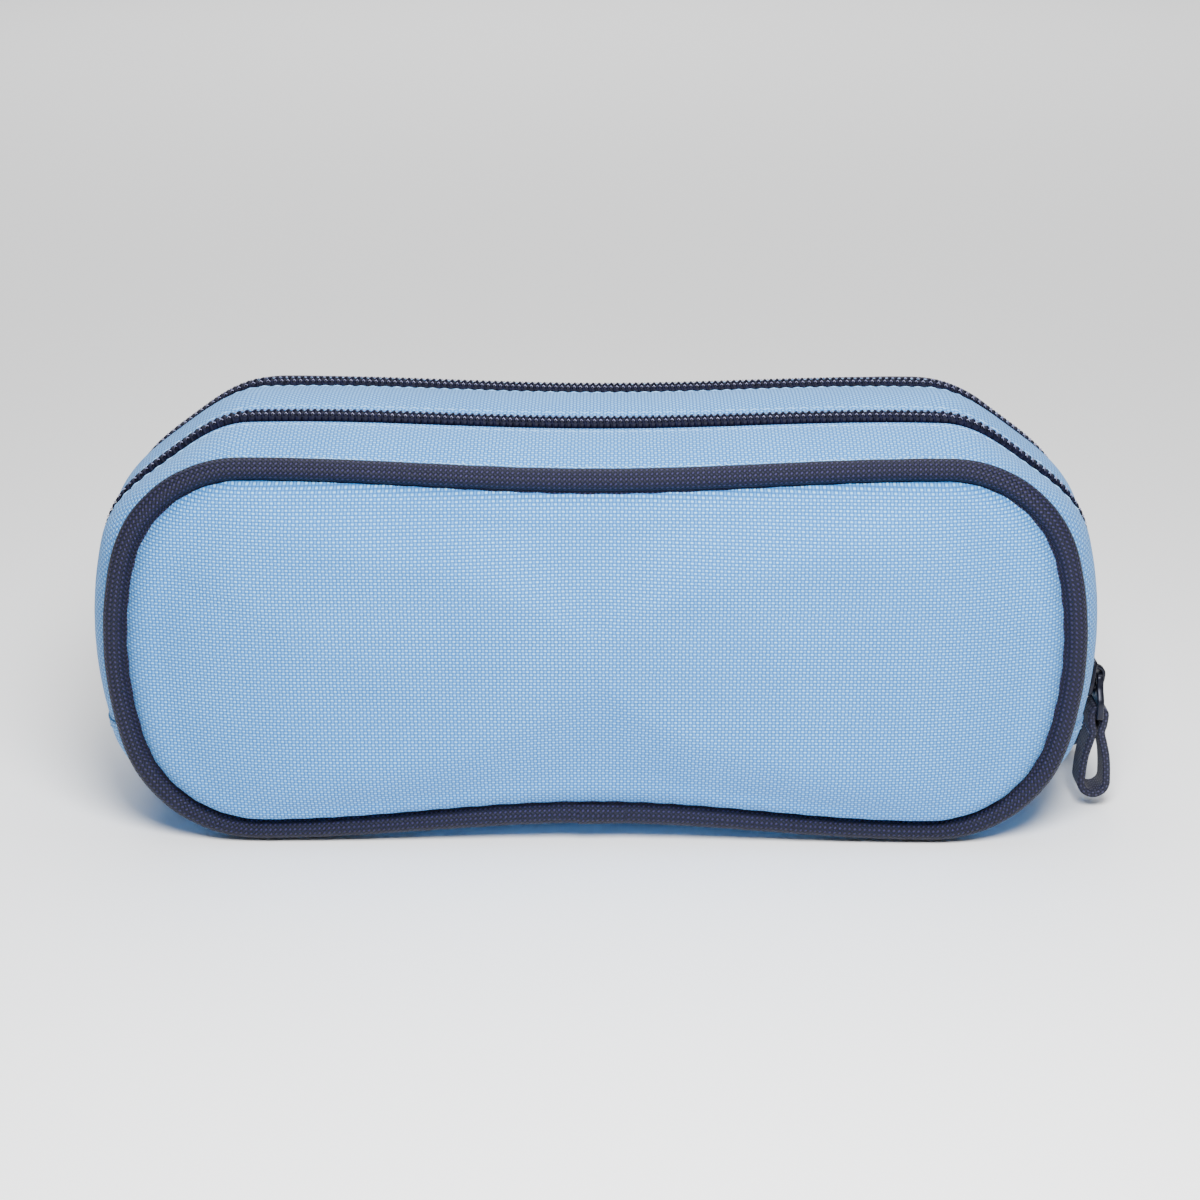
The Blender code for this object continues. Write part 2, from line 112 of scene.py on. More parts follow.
# Shallow folds: depth, direction across the fold in X and Z, then its place and half width in that
# direction, and its place and half length at right angles to it
PANEL_FOLDS = (
    (0.0005, 0.5, 0.86, -0.026, 0.004, 0.085, 0.02),
    (-0.0005, 0.62, 0.78, -0.040, 0.005, 0.080, 0.024),
    (0.0004, 0.86, 0.5, 0.078, 0.006, -0.030, 0.02),
    (-0.0005, 0.2, 0.98, -0.020, 0.009, 0.030, 0.05),
)

# Piping
PIPING_CLOTH = 0.0007
PIPING_SWELL = 0.012  # a share of its radius
PIPING_SWELL_PITCH = 0.011
ALLOWANCE_START = 0.0032  # from the cord's centre to where both edges of the bias cloth lie flat
OVERLAP_START = -0.0042
OVERLAP_LENGTH = 0.014
OVERLAP_LIFT = 0.00042
OVERLAP_SUNK = 0.00012  # how deep its ends lie in the cloth beneath
CORD_TWIST_PITCH = 0.004

# Strips of cloth and their stitching
STRIP_OVERHANG = 0.001  # past the zip's ends
STRIP_COLUMNS = 420
EDGE_RIPPLE = 0.00022
RIPPLE_PITCH = 0.0058
RIPPLE_REACH = 0.003
BASE_OVERHANG = 0.0014
BASE_DEPTH = -0.00045  # the base's cloth lies over the strips' ends
CROSS_STITCH_RISE = 0.0002
CROSS_STITCH_RADIUS = 0.00012
TOPSTITCH_INSET = 0.0018
TOPSTITCH_PITCH = 0.0028
TOPSTITCH_LENGTH = 0.0021
TOPSTITCH_LIFT = 0.00012
SEAM_STITCH_INSET = 0.0005
SEAM_STITCH_PITCH = 0.0017
SEAM_STITCH_LENGTH = 0.0012
SEAM_STITCH_LIFT = 0.00022
SEAM_THREAD_RADIUS = 0.00016
THREAD_RADIUS = 0.00011
THREAD_SUNK = 0.00006  # how deep a stitch's ends go into the cloth

# Zip chain
TOOTH_PITCH = 0.00148
TOOTH_RADIUS = 0.00042
SLOT_HALF = 0.00045
TOOTH_LEAN = 0.00016
TOOTH_HEAD = 0.0004  # how far a tooth's head reaches into the slot
COIL_INSET = 0.0003  # from the coil's outer edge to the far ends of the teeth's centrelines
COIL_PROUD = 0.0014
COIL_CORE_DEPTH = 0.0007
COIL_CORE_THICKNESS = 0.0016
SEWING_Y = 0.0016  # from the zip's middle to the thread that sews the coil on
TAPE_THICKNESS = 0.0006
CHAIN_COLUMNS = 360
COIL_THREAD_RADIUS = 0.00012

# Sliders, tabs and straps
PLATE_THICKNESS = 0.0012
INNER_PLATE_THICKNESS = 0.001
PLATE_ABOVE_COIL = 0.00055
PLATE_BELOW_SURFACE = 0.003
RIM_HEIGHT = 0.0009
RIM_WIDTH = 0.0005
BRIDGE_REACH = 0.00265
BRIDGE_RISE = 0.0026
BRIDGE_SUNK = 0.0001  # how deep its feet stand in the plate
TAB_THICKNESS = 0.0016
TAB_HALF_WIDTH = 0.0055
STRAP_EYE = 0.0016  # radius of its centreline round the tab's bar
STRAP_LOOP_RADIUS = 0.00295
STRAP_LOOP_DROP = 0.0168
STRAP_WIDTH = 0.0078
STRAP_THICKNESS = 0.0018
STRAP_CORNER = 0.0006
STRAP_STITCHES = 4
STRAP_STITCH_PITCH = 0.0017
STRAP_STITCH_HALF = 0.0006
STRAP_STITCH_DROP = 0.0043
STRAP_STITCH_RADIUS = 0.00014

# Weave
WARP_PITCH = 0.0008
WEFT_PITCH = 0.0007
BIAS_PITCH = 0.00112

# Camera and light
CAMERA_AZIMUTH = 0.4
CAMERA_ELEVATION = 18.7
CAMERA_DISTANCE = 0.568
CAMERA_LENS = 71.4
CAMERA_TARGET = (0.0009, 0.0, CENTRE_Z - 0.0005)
WORLD_STRENGTH = 0.2
FLOOR_Z = -0.0003
# Name, place, what it points at, diameter and watts
LIGHTS = (
    ("key_light", (0.04, -0.33, 0.37), (0, 0, 0.04), 0.2, 5.4),
    ("top_light", (0.0, 0.5, 2.0), (0, 0, 0), 2.4, 34.0),
    ("back_light", (0.0, 2.4, 1.6), (0, 2.4, 0), 2.4, 46.0),
)


# ---------------------------------------------------------------- outline and cloth surface


def end_arc_radius():
    """Radius of the arc that closes each end and runs smoothly into both corners."""
    across = HALF_LENGTH - LOBE_X
    up = LOBE_Z - CORNER_RADIUS
    return (CORNER_RADIUS**2 - across**2 - up**2) / (2 * (CORNER_RADIUS - across))


END_RADIUS = end_arc_radius()
END_CENTRE_X = HALF_LENGTH - END_RADIUS
END_ARC_ANGLE = math.atan2(LOBE_Z - CORNER_RADIUS, LOBE_X - END_CENTRE_X)


def quarter(waist, steps):
    """Points from the middle of the base to the middle of the right end, in X and height."""
    x = LOBE_X * np.arange(steps) / steps
    side = np.stack([x, waist * (1 + np.cos(np.pi * x / LOBE_X)) / 2 - LOBE_Z], 1)
    a = -np.pi / 2 + (np.pi / 2 - END_ARC_ANGLE) * np.arange(steps) / steps
    corner = np.stack(
        [LOBE_X + CORNER_RADIUS * np.cos(a), CORNER_RADIUS - LOBE_Z + CORNER_RADIUS * np.sin(a)], 1
    )
    a = -END_ARC_ANGLE * (1 - np.arange(steps + 1) / steps)
    end = np.stack([END_CENTRE_X + END_RADIUS * np.cos(a), END_RADIUS * np.sin(a)], 1)
    return np.vstack([side, corner, end])


def closed_outline(steps=120):
    lower = quarter(BASE_WAIST, steps)
    upper = quarter(TOP_WAIST, steps)[:-1][::-1] * (1, -1)
    right = np.vstack([lower, upper])
    return np.vstack([right, right[:-1][::-1] * (-1, 1)])


OUTLINE = closed_outline()
LENGTHS = np.concatenate([[0], np.cumsum(np.linalg.norm(np.diff(OUTLINE, axis=0), axis=1))])
TOTAL = LENGTHS[-1]
ALONG = np.roll(OUTLINE[:-1], -1, axis=0) - np.roll(OUTLINE[:-1], 1, axis=0)
ALONG /= np.linalg.norm(ALONG, axis=1)[:, None]
OUTWARD = np.stack([ALONG[:, 1], -ALONG[:, 0]], 1)
OUTWARD = np.vstack([OUTWARD, OUTWARD[:1]])


def outline_at(s):
    """X, height and outward direction at arc lengths s."""
    s = np.mod(np.asarray(s, float), TOTAL)
    x, z = (np.interp(s, LENGTHS, OUTLINE[:, k]) for k in (0, 1))
    nx, nz = (np.interp(s, LENGTHS, OUTWARD[:, k]) for k in (0, 1))
    size = np.hypot(nx, nz)
    return x, z, nx / size, nz / size


def length_at(x, z):
    """Arc length of the outline's point that is nearest to one given in X and height."""
    return float(LENGTHS[np.argmin(np.hypot(OUTLINE[:, 0] - x, OUTLINE[:, 1] - z))])


ZIP_START = length_at(
    END_CENTRE_X + END_RADIUS * math.cos(ZIP_END_ANGLE), END_RADIUS * math.sin(ZIP_END_ANGLE)
)
ZIP_FINISH = TOTAL - ZIP_START


def bulge(s, y):
    """How far the cloth's outer surface stands outside the outline."""
    x, _, nx, nz = outline_at(s)
    y = np.abs(y)
    top = TOP_BULGE - LOBE_DROP * np.minimum(1, (x / LOBE_X) ** 2)
    flat = np.where(nz > 0, top, BASE_BULGE)
    turn = np.arctan2(np.abs(nz), np.abs(nx)) - END_ARC_ANGLE
    turn = np.clip(turn / (np.pi / 2 - END_ARC_ANGLE), 0, 1)
    share = turn * turn * (3 - 2 * turn)
    amount = END_BULGE + (flat - END_BULGE) * share - CORNER_DIP * np.sin(np.pi * turn) ** 2
    inner, outer = ZIP_Y - COIL_HALF_WIDTH, ZIP_Y + COIL_HALF_WIDTH
    pillow = amount + MIDDLE_PILLOW * (1 - (y / inner) ** 2)
    slope = amount * np.sin(np.pi / 2 * np.clip((PIPING_Y - y) / (PIPING_Y - outer), 0, 1))
    across = np.clip((SEWN_Y - y) / (SEWN_Y - outer), 0, 1)
    slope = slope + END_FULLNESS * (1 - share) * np.sin(np.pi * across**0.7)
    return np.where(y <= inner, pillow, np.where(y <= outer, amount, slope))


def skin(s, y, depth=0.0):
    """Points that deep under the cloth's outer surface, as an array of XYZ."""
    s, y, depth = np.broadcast_arrays(np.asarray(s, float), np.asarray(y, float), depth)
    x, z, nx, nz = outline_at(s)
    out = bulge(s, y) - depth
    height = np.maximum(z + nz * out + CENTRE_Z, np.maximum(depth, 0.0))
    return np.stack([x + nx * out, y, height], -1)


def seam(s, y, out):
    """Points that far outside the outline, whatever the cloth's bulge."""
    s, y, out = np.broadcast_arrays(np.asarray(s, float), np.asarray(y, float), out)
    x, z, nx, nz = outline_at(s)
    return np.stack([x + nx * out, y, z + nz * out + CENTRE_Z], -1)


# ---------------------------------------------------------------- mesh helpers


def link(name, data, look):
    made = bpy.data.objects.new(name, data)
    bpy.context.scene.collection.objects.link(made)
    made.data.materials.append(look)
    return made


def fix_normals(made):
    """Makes all the faces of a mesh agree on which side is out."""
    bm = bmesh.new()
    bm.from_mesh(made.data)
    bmesh.ops.recalc_face_normals(bm, faces=bm.faces)
    bm.to_mesh(made.data)
    bm.free()


def grid_mesh(name, points, uv=None, close_columns=False, close_rows=False, flip=False):
    """A mesh of quads over a grid of points, rows by columns, with an optional UV in metres."""
    rows, columns = points.shape[:2]
    row_pairs = rows if close_rows else rows - 1
    column_pairs = columns if close_columns else columns - 1
    faces, corners = [], []
    for r in range(row_pairs):
        for c in range(column_pairs):
            r2, c2 = (r + 1) % rows, (c + 1) % columns
            quad = [(r, c), (r, c + 1), (r + 1, c + 1), (r + 1, c)]
            face = [r * columns + c, r * columns + c2, r2 * columns + c2, r2 * columns + c]
            if flip:
                quad.reverse()
                face.reverse()
            faces.append(face)
            corners += quad
    mesh = bpy.data.meshes.new(name)
    mesh.from_pydata(points.reshape(-1, 3).tolist(), [], faces)
    if uv is not None:
        layer = mesh.uv_layers.new(name="cloth")
        values = np.array([uv(r, c) for r, c in corners], dtype=np.float32)
        layer.data.foreach_set("uv", values.ravel())
    mesh.shade_smooth()
    return mesh


def thicken(made, thickness):
    """Turns a surface into a shell that lies inside it."""
    shell = made.modifiers.new("thickness", "SOLIDIFY")
    shell.thickness = thickness
    shell.offset = -1
    shell.use_even_offset = True


def add_thread(bm, points, radius, sides):
    """A short round thread through some points, with closed ends."""
    points = [Vector(p) for p in points]
    rings = []
    for i, p in enumerate(points):
        ahead = points[min(i + 1, len(points) - 1)] - points[max(i - 1, 0)]
        ahead.normalize()
        across = ahead.cross(Vector((0.31, 0.52, 0.79))).normalized()
        up = ahead.cross(across)
        ring = []
        for k in range(sides):
            a = 2 * math.pi * k / sides
            ring.append(bm.verts.new(p + (across * math.cos(a) + up * math.sin(a)) * radius))
        rings.append(ring)
    for a, b in zip(rings, rings[1:]):
        for k in range(sides):
            bm.faces.new((a[k], a[(k + 1) % sides], b[(k + 1) % sides], b[k]))
    bm.faces.new(rings[0][::-1])
    bm.faces.new(rings[-1])


def threads(name, paths, radius, look, sides=5):
    """One piece made of a short thread along each path."""
    bm = bmesh.new()
    for path in paths:
        add_thread(bm, path, radius, sides)
    mesh = bpy.data.meshes.new(name)
    bm.to_mesh(mesh)
    bm.free()
    mesh.shade_smooth()
    return link(name, mesh, look)


def sweep(name, path, section, look, closed=True):
    """A closed section (across, out) carried along a path of (centre, across, out) frames."""
    points = []
    for centre, across, out in path:
        points.append([centre + across * u + out * v for u, v in section])
    points = np.array([[tuple(p) for p in row] for row in points])
    size = [math.dist(a, b) for a, b in zip(section, section[1:] + section[:1])]
    around = np.concatenate([[0], np.cumsum(size)])
    step = [np.linalg.norm(points[i + 1][0] - points[i][0]) for i in range(len(points) - 1)]
    along = np.concatenate([[0], np.cumsum(step + [step[-1]])])
    mesh = grid_mesh(
        name, points, lambda r, c: (along[r], around[c]), close_columns=True, close_rows=closed
    )
    bm = bmesh.new()
    bm.from_mesh(mesh)
    if not closed:
        bmesh.ops.holes_fill(bm, edges=[e for e in bm.edges if e.is_boundary])
    bmesh.ops.recalc_face_normals(bm, faces=bm.faces)
    bm.to_mesh(mesh)
    bm.free()
    return link(name, mesh, look)


def rounded_section(width, thickness, corner, steps=3):
    """A rectangle with round corners, anticlockwise."""
    points = []
    for cx, cy, first in (
        (width / 2 - corner, thickness / 2 - corner, 0),
        (corner - width / 2, thickness / 2 - corner, 90),
        (corner - width / 2, corner - thickness / 2, 180),
        (width / 2 - corner, corner - thickness / 2, 270),
    ):
        for i in range(steps + 1):
            a = math.radians(first + 90 * i / steps)
            points.append((cx + corner * math.cos(a), cy + corner * math.sin(a)))
    return points


def plate(name, loops, thickness, origin, first, second, look, bevel=0.0003):
    """Outlines in a frame's first two axes, later ones holes, thick along the third, edges rounded."""
    curve = bpy.data.curves.new(name, "CURVE")
    curve.dimensions = "2D"
    curve.fill_mode = "BOTH"
    curve.extrude = thickness / 2 - bevel
    curve.bevel_depth = bevel
    curve.bevel_resolution = 2
    curve.offset = -bevel
    for loop in loops:
        line = curve.splines.new("POLY")
        line.points.add(len(loop) - 1)
        for point, (u, v) in zip(line.points, loop):
            point.co = (u, v, 0, 1)
        line.use_cyclic_u = True
    third = first.cross(second)
    scratch = bpy.data.objects.new(name, curve)
    bpy.context.scene.collection.objects.link(scratch)
    depsgraph = bpy.context.evaluated_depsgraph_get()
    mesh = bpy.data.meshes.new_from_object(scratch.evaluated_get(depsgraph))
    bpy.data.objects.remove(scratch)
    bm = bmesh.new()
    bm.from_mesh(mesh)
    bmesh.ops.remove_doubles(bm, verts=bm.verts, dist=0.00001)
    place = [[first[i], second[i], third[i], origin[i]] for i in range(3)] + [[0, 0, 0, 1]]
    bmesh.ops.transform(bm, matrix=Matrix(place), verts=bm.verts)
    bm.to_mesh(mesh)
    bm.free()
    mesh.materials.clear()
    mesh.shade_smooth()
    mesh.set_sharp_from_angle(angle=math.radians(50))
    return link(name, mesh, look)


def arc(cu, cv, radius, first, last, steps):
    """Points on an arc about a centre, from one angle in degrees to another."""
    return [
        (cu + radius * math.cos(math.radians(a)), cv + radius * math.sin(math.radians(a)))
        for a in np.linspace(first, last, steps + 1)
    ]


def rounded_loop(points, radius, steps=4):
    """A closed outline with each corner replaced by a small curve."""
    made = []
    for i, p in enumerate(points):
        before, after = Vector(points[i - 1]), Vector(points[(i + 1) % len(points)])
        p = Vector(p)
        reach_in = min(radius, (before - p).length * 0.45)
        reach_out = min(radius, (after - p).length * 0.45)
        a = p + (before - p).normalized() * reach_in
        b = p + (after - p).normalized() * reach_out
        for k in range(steps + 1):
            t = k / steps
            made.append(tuple(a * (1 - t) ** 2 + p * 2 * t * (1 - t) + b * t * t))
    return made


# ---------------------------------------------------------------- materials


class Nodes:
    """A short way to write a material's nodes."""

    def __init__(self, name, roughness, metallic=0.0, sheen=0.0, specular=0.5):
        self.material = bpy.data.materials.new(name)
        self.material.use_nodes = True
        self.tree = self.material.node_tree
        self.shader = self.tree.nodes["Principled BSDF"]
        self.shader.inputs["Roughness"].default_value = roughness
        self.shader.inputs["Metallic"].default_value = metallic
        self.shader.inputs["Specular IOR Level"].default_value = specular
        self.shader.inputs["Sheen Weight"].default_value = sheen
        self.shader.inputs["Sheen Roughness"].default_value = 0.4

    def add(self, kind, **values):
        node = self.tree.nodes.new(kind)
        for key, value in values.items():
            setattr(node, key, value)
        return node

    def put(self, value, socket):
        if isinstance(value, bpy.types.NodeSocket):
            self.tree.links.new(value, socket)
        else:
            socket.default_value = value

    def math(self, operation, a, b=0.0):
        node = self.add("ShaderNodeMath", operation=operation)
        self.put(a, node.inputs[0])
        self.put(b, node.inputs[1])
        return node.outputs[0]

    def mix(self, share, a, b):
        node = self.add("ShaderNodeMix", data_type="RGBA")
        self.put(share, node.inputs[0])
        self.put(a, node.inputs[6])
        self.put(b, node.inputs[7])
        return node.outputs[2]

    def ramp(self, value, low, high, to_low=0.0, to_high=1.0):
        node = self.add("ShaderNodeMapRange")
        for place, given in enumerate((value, low, high, to_low, to_high)):
            self.put(given, node.inputs[place])
        return node.outputs[0]

    def noise(self, scale, detail):
        node = self.add("ShaderNodeTexNoise")
        node.inputs["Scale"].default_value = scale
        node.inputs["Detail"].default_value = detail
        self.put(self.add("ShaderNodeTexCoord").outputs["Object"], node.inputs["Vector"])
        return node.outputs["Fac"]

    def cloth_uv(self):
        source = self.add("ShaderNodeUVMap", uv_map="cloth").outputs[0]
        split = self.add("ShaderNodeSeparateXYZ")
        self.put(source, split.inputs[0])
        return split.outputs[0], split.outputs[1]

    def colour(self, value):
        self.put(value, self.shader.inputs["Base Color"])

    def roughness(self, value):
        self.put(value, self.shader.inputs["Roughness"])

    def bump(self, height, distance):
        node = self.add("ShaderNodeBump")
        node.inputs["Strength"].default_value = 1.0
        node.inputs["Distance"].default_value = distance
        self.put(height, node.inputs["Height"])
        self.put(node.outputs[0], self.shader.inputs["Normal"])


def weave_height(n, u, v, pitch_u, pitch_v):
    """Height of a plain weave, and the part of it where the threads along U lie on top."""
    fall_across, fall_along, lower = 1.1, 0.4, 0.72  # a thread's roundness, and the other threads' height
    u = n.math("DIVIDE", u, pitch_u)
    v = n.math("DIVIDE", v, pitch_v)
    parity = n.math("MODULO", n.math("ADD", n.math("FLOOR", u), n.math("FLOOR", v)), 2.0)
    parity = n.math("ABSOLUTE", parity)
    wave_u = n.math("ABSOLUTE", n.math("SINE", n.math("MULTIPLY", u, math.pi)))
    wave_v = n.math("ABSOLUTE", n.math("SINE", n.math("MULTIPLY", v, math.pi)))
    along_u = n.math("MULTIPLY", n.math("POWER", wave_v, fall_across), n.math("POWER", wave_u, fall_along))
    along_v = n.math("MULTIPLY", n.math("POWER", wave_u, fall_across), n.math("POWER", wave_v, fall_along))
    floats = n.math("MULTIPLY", along_u, n.math("SUBTRACT", 1.0, parity))
    sunk = n.math("MULTIPLY", n.math("MULTIPLY", along_v, parity), lower)
    return n.math("ADD", floats, sunk), floats


def woven(name, gap_shade_and_patch, base, light, pitch_u, pitch_v, depth, roughness=0.62, sheen=0.1, turned=False):
    """Cloth woven of two sets of threads, turned by 45 degrees if it is cut on the bias, with painted
    shade in the gaps between threads and a painted highlight on the threads that float on top.
    """
    n = Nodes(name, roughness, sheen=sheen, specular=0.25)
    u, v = n.cloth_uv()
    positive = 10.0  # keeps the threads' count above zero, where its remainder repeats evenly
    wobble = n.math("MULTIPLY", n.math("SUBTRACT", n.noise(260.0, 1.0), 0.5), pitch_u * 0.5)
    u = n.math("ADD", u, wobble)
    if turned:
        u, v = n.math("ADD", u, v), n.math("SUBTRACT", u, v)
    u = n.math("ADD", u, positive)
    v = n.math("ADD", v, positive)
    height, floats = weave_height(n, u, v, pitch_u, pitch_v)
    patches = n.noise(45.0, 3.0)
    # Painted shade: darker where the weave is low, in the gaps between threads
    body = n.mix(n.ramp(height, 0.1, 0.65), gap_shade_and_patch, base)
    # Painted highlight: the light colour on the threads that float on top
    highlighted = n.mix(n.ramp(floats, 0.5, 0.98), body, light)
    # Random darker patches: the cloth's own uneven tone
    n.colour(n.mix(n.ramp(patches, 0.3, 0.7, 0.0, 0.16), highlighted, gap_shade_and_patch))
    n.bump(height, depth)
    return n.material


def painted(name, base, wear):
    """Smooth paint on cast metal, a little rough, with lighter worn patches scattered at random."""
    n = Nodes(name, 0.32, metallic=0.55, specular=0.5)
    grain = n.noise(900.0, 3.0)
    n.colour(n.mix(n.ramp(n.noise(220.0, 4.0), 0.55, 0.8, 0.0, 0.5), base, wear))
    n.roughness(n.ramp(grain, 0.3, 0.7, 0.24, 0.42))
    n.bump(grain, 0.00003)
    return n.material


def plain(name, base, other, roughness, scale, depth, sheen=0.0, specular=0.5):
    """A fine-grained plastic, thread or cord."""
    n = Nodes(name, roughness, sheen=sheen, specular=specular)
    grain = n.noise(scale, 3.0)
    n.colour(n.mix(n.ramp(grain, 0.3, 0.7), base, other))
    n.bump(grain, depth)
    return n.material


def rgb(r, g, b):
    """Linear colour of an sRGB one given in 0 to 255."""
    channel = [c / 255 / 12.92 if c <= 10 else ((c / 255 + 0.055) / 1.055) ** 2.4 for c in (r, g, b)]
    return (*channel, 1.0)


# Each woven look gives three colours: painted shade for the gaps between threads (also used for random
# darker patches), a base colour, and a painted highlight for the threads that float on top.
LOOKS = {
    "cloth": woven(
        "light_blue_cloth", rgb(36, 104, 172), rgb(80, 155, 226), rgb(150, 212, 252),
        WARP_PITCH, WEFT_PITCH, 0.0002,
    ),
    "lining": woven(
        "lining_cloth", rgb(88, 120, 150), rgb(126, 160, 190), rgb(150, 184, 210),
        0.0004, 0.0004, 0.00005,
    ),
    "piping": woven(
        "navy_piping", rgb(2, 4, 16), rgb(10, 15, 44), rgb(46, 42, 82),
        BIAS_PITCH, BIAS_PITCH, 0.0002, sheen=0.02, turned=True,
    ),
    "tape": woven(
        "navy_zip_tape", rgb(8, 12, 30), rgb(20, 26, 52), rgb(44, 50, 80),
        0.0005, 0.00042, 0.00006,
    ),
    "webbing": woven(
        "navy_webbing", rgb(10, 11, 26), rgb(30, 31, 52), rgb(62, 62, 88),
        0.0007, 0.0007, 0.00012,
    ),
    "coil": plain("navy_nylon_coil", rgb(4, 6, 22), rgb(11, 14, 40), 0.6, 700.0, 0.00002, specular=0.12),
    # The coil's sewing thread is real; its pale colour is a painted highlight for the bright dots along
    # the coil.
    "coil_thread": plain("coil_thread", rgb(96, 98, 136), rgb(150, 150, 182), 0.6, 900.0, 0.00003),
    "thread": plain("light_blue_thread", rgb(120, 182, 236), rgb(160, 212, 250), 0.6, 900.0, 0.00003),
    "metal": painted("dark_navy_paint", rgb(20, 22, 36), rgb(48, 50, 66)),
    "cord": plain("undyed_cord", rgb(190, 188, 176), rgb(220, 218, 206), 0.8, 500.0, 0.0001, sheen=0.3),
}


# ---------------------------------------------------------------- what crosses the open zip


def fold_with_wall(piece):
    """Bakes the transform of a piece of cloth beside a zip into its mesh."""
    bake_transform(piece)


def base_with_wall(piece):
    """Bakes the transform of a piece of the base's cloth into its mesh."""
    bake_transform(piece)


# ---------------------------------------------------------------- cloth


def cloth_strip(name, start, finish, ys, columns, look, depth=0.0, thickness=CLOTH, ripple=0.0):
    """A strip of cloth bent along the outline. ripple puckers its first edge, where the piping is."""
    s = np.linspace(start, finish, columns)[None, :]
    ys = np.asarray(ys, float)[:, None]
    points = skin(s, ys, depth)
    if ripple:
        _, _, nx, nz = outline_at(s)
        near = np.exp(-(np.abs(ys - ys[0]) / RIPPLE_REACH))
        # Waves of unlike lengths, so that the puckers don't repeat evenly
        wave = np.sin(s * 2 * np.pi / RIPPLE_PITCH + 1.4 * np.sin(s * 61)) * np.sin(s * 173 + 0.7)
        lift = ripple * near * wave
        points[..., 0] += nx * lift
        points[..., 2] += nz * lift
    mesh = grid_mesh(
        name,
        points,
        lambda r, c: (s[0, c], ys[r, 0]),
        flip=ys[0, 0] < ys[-1, 0],
    )
    made = link(name, mesh, look)
    thicken(made, thickness)
    return made


def hem_ys(first, last, steps=22):
    """Ys across a strip, closer together near both edges."""
    t = (1 - np.cos(np.linspace(0, np.pi, steps))) / 2
    return first + (last - first) * t


def stitches(name, y, pitch, length, lift, radius=THREAD_RADIUS):
    """A row of short stitches lying on the cloth beside a zip."""
    paths = []
    for i in range(int((ZIP_FINISH - ZIP_START) / pitch)):
        s = ZIP_START + (i + 0.5) * pitch
        paths.append(skin([s - length / 2, s, s + length / 2], y, [THREAD_SUNK, -lift, THREAD_SUNK]))
    return threads(name, paths, radius, LOOKS["thread"])


def topstitch(name, y):
    """The row that sews the zip to its cloth."""
    return stitches(name, y, TOPSTITCH_PITCH, TOPSTITCH_LENGTH, TOPSTITCH_LIFT)


def panel_point(turn, reach, side):
    """A point of a panel, from its middle (reach 0) to its rim (reach 1)."""
    s = turn * TOTAL
    rim = seam(s, 0, -PANEL_EDGE_INSET)
    x = rim[..., 0] * reach
    z = CENTRE_Z + (rim[..., 2] - CENTRE_Z) * reach
    inward = np.hypot(rim[..., 0], rim[..., 2] - CENTRE_Z) * (1 - reach)
    crown = PANEL_CROWN * (1 - np.clip(1 - inward / CROWN_REACH, 0, 1) ** 2)
    tuck = TUCK_DEPTH * np.exp(-((inward / TUCK_WIDTH) ** 2))
    roll = ROLL_HEIGHT * np.exp(-(((inward - ROLL_PLACE) / ROLL_WIDTH) ** 2))
    wave = np.sin(s * 2 * np.pi / PUCKER_PITCH + 2 * np.sin(s * 40))
    pucker = PUCKER_HEIGHT * np.exp(-inward / PUCKER_REACH) * wave
    fold = sum(
        depth * np.exp(-(((x * c + (z - CENTRE_Z) * q) - place) / width) ** 2)
        * np.exp(-(((z - CENTRE_Z) * c - x * q - along) / length) ** 2)
        for depth, c, q, place, width, along, length in PANEL_FOLDS
    )
    y = PIPING_Y + PANEL_FACE + crown + roll - tuck + pucker + fold
    return np.stack([x, side * y, z], -1)


def cloth_panel(word, side):
    """A crowned panel, tucked in beside its piping."""
    around, inward = 300, 64
    t = np.linspace(0, 1, inward)
    reach = (1 - (1 - t) ** 1.6)[:, None]
    reach[0] = 0.004
    turn = np.linspace(0, 1, around, endpoint=False)[None, :]
    points = panel_point(turn, reach, side)
    xz = points[..., [0, 2]]
    mesh = grid_mesh(
        f"{word}_cloth_panel",
        points,
        lambda r, c: tuple(xz[r % inward, c % around]),
        close_columns=True,
        flip=side > 0,
    )
    bm = bmesh.new()
    bm.from_mesh(mesh)
    middle = [v for v in bm.verts if math.hypot(v.co.x, v.co.z - CENTRE_Z) < PANEL_HOLE]
    uv = bm.loops.layers.uv["cloth"]
    fill = bmesh.ops.holes_fill(bm, edges=[e for e in bm.edges if all(v in middle for v in e.verts)])
    for face in fill["faces"]:
        for loop in face.loops:
            loop[uv].uv = (loop.vert.co.x, loop.vert.co.z)
    bmesh.ops.recalc_face_normals(bm, faces=bm.faces)
    if sum(f.normal.y for f in bm.faces) * side < 0:
        bmesh.ops.reverse_faces(bm, faces=bm.faces)
    bm.to_mesh(mesh)
    bm.free()
    mesh.shade_smooth()
    made = link(f"{word}_cloth_panel", mesh, LOOKS["cloth"])
    thicken(made, CLOTH)
    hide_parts(f"{word}_panel")
    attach(made, f"{word}_wall")


def piping_profile():
    """The bias cloth's section, as (across, out) round the cord and down both sides of a slit."""
    slit = GAP / 2
    edge = slit + PIPING_CLOTH
    angles = np.radians(np.linspace(-73, 253, 27))
    profile = [(PIPING_RADIUS * math.cos(a), PIPING_RADIUS * math.sin(a)) for a in angles]
    profile += [(-edge, -ALLOWANCE_START), (-edge, -SEAM_ALLOWANCE), (-slit, -SEAM_ALLOWANCE)]
    bore = PIPING_RADIUS - PIPING_CLOTH
    angles = np.radians(np.linspace(264, -84, 14))
    profile += [(bore * math.cos(a), bore * math.sin(a)) for a in angles]
    profile += [(slit, -SEAM_ALLOWANCE), (edge, -SEAM_ALLOWANCE), (edge, -ALLOWANCE_START)]
    return profile


